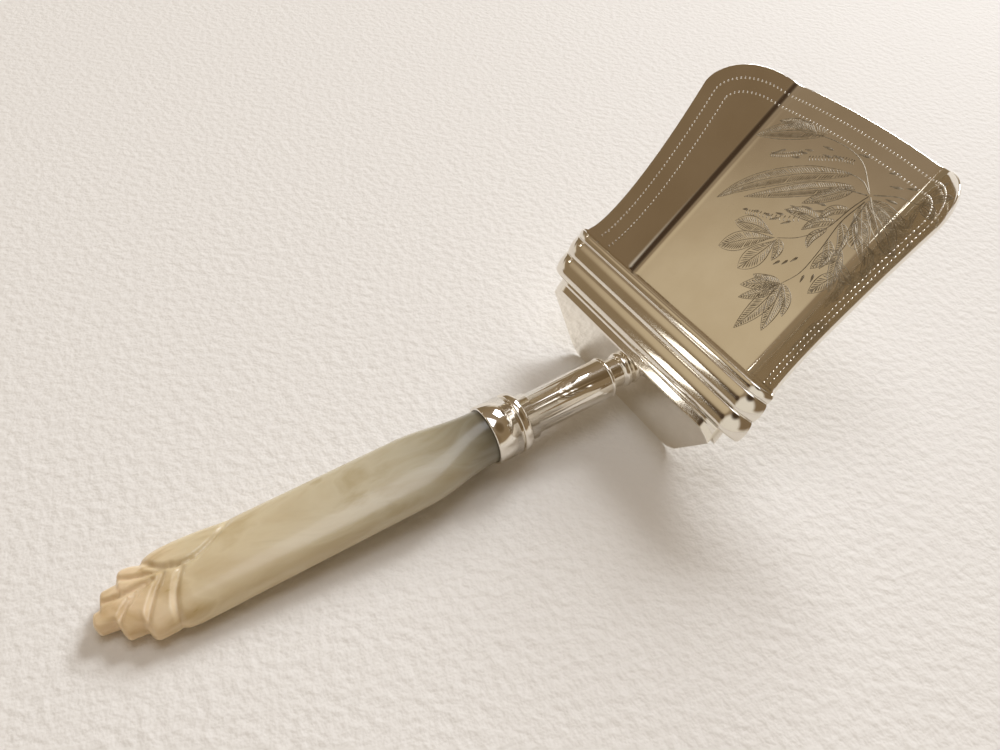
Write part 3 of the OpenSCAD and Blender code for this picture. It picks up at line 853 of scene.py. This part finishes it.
# Lobes of the leaf: end as a share of its length, then crest and notch as shares of half the handle's width
FAR_LOBES = [(0.61, 1.14, 0.94), (0.785, 1.06, 0.76), (0.925, 0.76, 0.34), (1.0, 0.32, 0.08)]
NEAR_LOBES = [(0.495, 1.01, 0.92), (0.7, 0.94, 0.66), (0.855, 0.63, 0.24), (1.0, 0.2, 0.06)]
CREST_AT = 0.72
# Grooves between the lobes: each starts by the midrib, is pulled over and ends at a notch
GROOVE_PATHS = [
    [(-0.05, 0.9), (0.4, -0.42), (0.61, 0.99)],
    [(0.427, 0.37), (0.635, 0.42), (0.785, 0.81)],
    [(0.565, 0.28), (0.774, 0.23), (0.925, 0.43)],
    [(0.36, 0.2), (0.5, -0.36), (0.495, -1.04)],
    [(0.484, 0.3), (0.637, -0.25), (0.7, -0.76)],
    [(0.613, 0.23), (0.782, 0.08), (0.855, -0.33)]]
# Half the width of a groove, and how far before the leaf grooves are looked for
GROOVE_HALF, GROOVE_LEAD = 0.42, 1.0
# First row that wear softens, and how often it does
WORN_ROW, WORN_TIMES = PLAIN_ROWS + 2, 2


def plain_half(t):
    """Half width where the handle is plain."""
    return mix(ROOT_R, HANDLE_W / 2, soft((t - FERRULE_L) / ROOT_L))


def lobe_half(lobes, v):
    """Half width over one edge's lobes, as a share of half the handle's width, at a share v of the leaf."""
    before = (0.0, 1.0, 1.0)
    for lobe in lobes:
        if v <= lobe[0] + TINY:
            break
        before = lobe
    w = (v - before[0]) / (lobe[0] - before[0])
    if w < CREST_AT:
        return mix(before[2], lobe[1], math.sin(math.pi / 2 * w / CREST_AT))
    fall = math.sqrt(max(0.0, 1 - ((w - CREST_AT) / (1 - CREST_AT)) ** 2))
    return mix(lobe[2], lobe[1], fall)


def half_width(t, far):
    """Half width towards the far or the near edge."""
    if t < LEAF_START:
        return plain_half(t)
    return HANDLE_W / 2 * lobe_half(FAR_LOBES if far else NEAR_LOBES, (t - LEAF_START) / LEAF_L)


def half_thick(t):
    """Half thickness, which falls off towards the leaf's tip."""
    if t < LEAF_START:
        return mix(ROOT_R, HANDLE_T / 2, soft((t - FERRULE_L) / ROOT_L))
    return mix(HANDLE_T, TIP_T, ((t - LEAF_START) / LEAF_L) ** 2) / 2


def groove_lines():
    """The grooves as fine polylines, along the leaf and across it, in mm."""
    w = np.linspace(0, 1, GROOVE_STEPS)[:, None]
    scale = np.array([LEAF_L, HANDLE_W / 2])
    return [scale * (np.array(a) * (1 - w) ** 2 + np.array(b) * 2 * w * (1 - w) + np.array(c) * w ** 2)
            for a, b, c in GROOVE_PATHS]


def groove_cut(place, lines):
    """How deep the carver's grooves are at a place on the face, from 0 to 1."""
    return max(0.0, 1 - min(gap_to(place, line) for line in lines) / GROOVE_HALF)


def worn(rows):
    """Rows of points, softened along the leaf, as handling wears an edge."""
    rows = rows.copy()
    for _ in range(WORN_TIMES):
        rows[WORN_ROW:-1] = (rows[WORN_ROW - 1:-2] + 2 * rows[WORN_ROW:-1] + rows[WORN_ROW + 1:]) / 4
    return rows


def make_handle(material):
    """The handle: a flat oval with a round root, and the leaf carved on both faces of its tip."""
    stations = np.r_[FERRULE_L - SOCKET_L + HANDLE_GAP, np.linspace(FERRULE_L, LEAF_START, PLAIN_ROWS),
                     np.linspace(LEAF_START, HANDLE_END, LEAF_ROWS)[1:]]
    rows = []
    along = []
    lines = groove_lines()
    for t in stations:
        row = []
        power = mix(1, OVAL_POWER, soft((t - FERRULE_L) / ROOT_L))
        drawn_in = TIP_ROUND * (1 - math.sqrt(1 - max(0.0, 1 - (HANDLE_END - t) / TIP_ROUND) ** 2))
        narrow = 1 - drawn_in / half_thick(t)
        for k in range(POINTS_ROUND):
            a = 2 * math.pi * k / POINTS_ROUND
            c, s = math.cos(a), math.sin(a)
            across = half_width(t, c >= 0) * math.copysign(abs(c) ** power, c)
            carved = t > LEAF_START - GROOVE_LEAD
            cut = LEAF_CUT * groove_cut(np.array([t - LEAF_START, across]), lines) if carved else 0.0
            up = (half_thick(t) - cut) * math.copysign(abs(s) ** power, s)
            row.append(axis_to_rest(t, up * narrow, across * narrow))
            along.append(t / HANDLE_END)
        rows.append(row)
    draft = ([], [])
    index = add_rows(draft, worn(np.array(rows)), closed=True)
    draft[1].append(index[0][::-1])
    draft[1].append(index[-1])
    mesh = bpy.data.meshes.new("carved_handle")
    mesh.from_pydata([tuple(p) for p in draft[0]], [], draft[1])
    mesh.attributes.new("along", "FLOAT", "POINT").data.foreach_set("value", along)
    work = bmesh.new()
    work.from_mesh(mesh)
    bmesh.ops.recalc_face_normals(work, faces=work.faces)
    work.to_mesh(mesh)
    work.free()
    return finish_piece("carved_handle", mesh, material, sharp=60.0)


# The room, in metres and in degrees round the spoon: half the table's side, and how far off the lamps stand
TABLE_HALF, WINDOW_AWAY, LAMP_AWAY = 1.2, 2.6, 1.3
# Azimuths and elevations of the window's four panes, the size and the watts of each, and daylight's colour
PANE_AZIMUTHS, PANE_ELEVATIONS = (22, 33), (27, 39)
PANE_SIZE, PANE_WATTS, DAYLIGHT = (0.44, 0.48), 15.5, "#F4F8FF"
# Other lamps: name, azimuth, elevation, size, watts and colour. The small ones show in the silver.
LAMPS = [
    ("side_pane_left", 103, 35, (0.06, 0.05), 0.04, "#FFFDF6"),
    ("side_pane_right", 111, 39, (0.06, 0.05), 0.04, "#FFFDF6"),
    ("side_pane_low", 123, 28, (0.06, 0.1), 0.22, "#FFFDF6"),
    ("far_strip", 151, 12, (0.06, 0.34), 0.2, "#FFFDF6"),
    ("high_softbox", 40, 82, (0.7, 0.7), 3.8, "#F1F5FF")]
# Tones of the room by height, as the sine of the elevation
ROOM_TONES = [
    (0.0, "#E9E2D8"), (0.13, "#DDD2C2"), (0.19, "#8F7B60"), (0.5, "#8B775C"), (0.85, "#93816A"),
    (1.0, "#A39684")]
# Tones round a direction: colour, azimuth, elevation, and the degrees from it where the tone starts to fade
# and where it ends
WALL_TONES = [
    ("#C4B294", 146, 38, 3, 17),
    ("#8A775C", 150, 2, 12, 24),
    ("#84735A", 82, 4, 16, 32),
    ("#6B583F", -47, 57, 8, 26),
    ("#7D6950", -112, 30, 16, 34),
    ("#E2DACD", -160, 16, 22, 36),
    ("#453628", -158, 50, 7, 20),
    ("#4A3B2D", 160, 20, 4, 10)]
# The photograph's camera, found by fitting the spoon's outline: lens in mm, place in metres and axes
CAMERA_LENS = 30.954
CAMERA_PLACE = (-0.032932, -0.045504, 0.066965)
CAMERA_RIGHT = (0.84868, -0.52741, 0.03964)
CAMERA_UP = (0.35173, 0.61878, 0.70242)
CAMERA_BACK = (-0.395, -0.58219, 0.71065)


def make_floor(material):
    """The table top, which runs out of the picture on every side."""
    mesh = bpy.data.meshes.new("table")
    r = TABLE_HALF
    mesh.from_pydata([(-r, -r, 0), (r, -r, 0), (r, r, 0), (-r, r, 0)], [], [(0, 1, 2, 3)])
    mesh.materials.append(material)
    table = bpy.data.objects.new("table", mesh)
    bpy.context.scene.collection.objects.link(table)


def toward(azimuth, elevation):
    """A direction from the spoon. Azimuth is counted in degrees from +X towards +Y."""
    a, e = math.radians(azimuth), math.radians(elevation)
    return Vector((math.cos(a) * math.cos(e), math.sin(a) * math.cos(e), math.sin(e)))


def soft_lamp(name, direction, distance, size, watts, colour):
    """A rectangular lamp that faces the spoon. Its size is its width and height in metres."""
    data = bpy.data.lights.new(name, "AREA")
    data.shape = "RECTANGLE"
    data.size, data.size_y = size
    data.energy = watts
    data.color = linear_colour(colour)[:3]
    lamp = bpy.data.objects.new(name, data)
    lamp.location = distance * direction
    lamp.rotation_euler = direction.to_track_quat("Z", "Y").to_euler()
    bpy.context.scene.collection.objects.link(lamp)


def patch(tree, direction, middle, inner, outer):
    """Part of the room round a direction: 1 within inner degrees of it, and nothing beyond outer degrees."""
    facing = add(tree, "ShaderNodeVectorMath", {0: direction}, operation="DOT_PRODUCT", in_1=middle)
    edge = add(tree, "ShaderNodeMapRange", {"Value": facing.outputs["Value"]},
               interpolation_type="SMOOTHSTEP", in_From_Min=math.cos(math.radians(outer)),
               in_From_Max=math.cos(math.radians(inner)))
    return edge.outputs[0]


def make_world():
    """A plain room round the table: pale at the foot of its walls and brown above, with the wall tones."""
    world = bpy.data.worlds.new("warm_room")
    world.use_nodes = True
    tree = world.node_tree
    tree.nodes.clear()
    direction = add(tree, "ShaderNodeTexCoord").outputs["Generated"]
    height = add(tree, "ShaderNodeSeparateXYZ", {"Vector": direction}).outputs["Z"]
    room = ramp(tree, height, ROOM_TONES).outputs["Color"]
    for code, azimuth, elevation, inner, outer in WALL_TONES:
        place = patch(tree, direction, toward(azimuth, elevation), inner, outer)
        wall = add(tree, "ShaderNodeMix", {0: place, 6: room}, data_type="RGBA", in_7=linear_colour(code))
        room = wall.outputs[2]
    light = add(tree, "ShaderNodeBackground", {"Color": room}, in_Strength=1.0)
    add(tree, "ShaderNodeOutputWorld", {"Surface": light.outputs[0]})
    bpy.context.scene.world = world


def make_camera():
    """A camera with the photograph's angle of view."""
    data = bpy.data.cameras.new("camera")
    data.sensor_fit = "HORIZONTAL"
    data.sensor_width = 36.0
    data.lens = CAMERA_LENS
    data.clip_start = 0.005
    data.clip_end = 20.0
    camera = bpy.data.objects.new("camera", data)
    turn = Matrix((CAMERA_RIGHT, CAMERA_UP, CAMERA_BACK)).transposed().to_4x4()
    camera.matrix_world = Matrix.Translation(Vector(CAMERA_PLACE)) @ turn
    bpy.context.scene.collection.objects.link(camera)
    bpy.context.scene.camera = camera


silver = polished_silver()
pearl = mother_of_pearl()

pieces = [
    (make_bowl(silver), "bowl", "silver"),
    (make_hood(silver), "hood", "silver"),
    (make_plate(silver), "back_plate", "silver"),
    (dressed_copy("turned_ferrule", "ferrule", silver), "ferrule", "silver"),
    (make_handle(pearl), "handle", "mother_of_pearl")]
for ornament in (make_borders(silver), make_spray(bright_cut_silver())):
    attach(ornament, "root")
for piece, node, slot in pieces:
    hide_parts(node)
    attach(piece, "root")

make_floor(grained_card())
make_camera()
make_world()
for column, azimuth in enumerate(PANE_AZIMUTHS):
    for row, elevation in enumerate(PANE_ELEVATIONS):
        soft_lamp(f"window_pane_{column}_{row}", toward(azimuth, elevation), WINDOW_AWAY, PANE_SIZE,
                  PANE_WATTS, DAYLIGHT)
for name, azimuth, elevation, size, watts, colour in LAMPS:
    soft_lamp(name, toward(azimuth, elevation), LAMP_AWAY, size, watts, colour)
bpy.context.scene.view_settings.view_transform = "Standard"
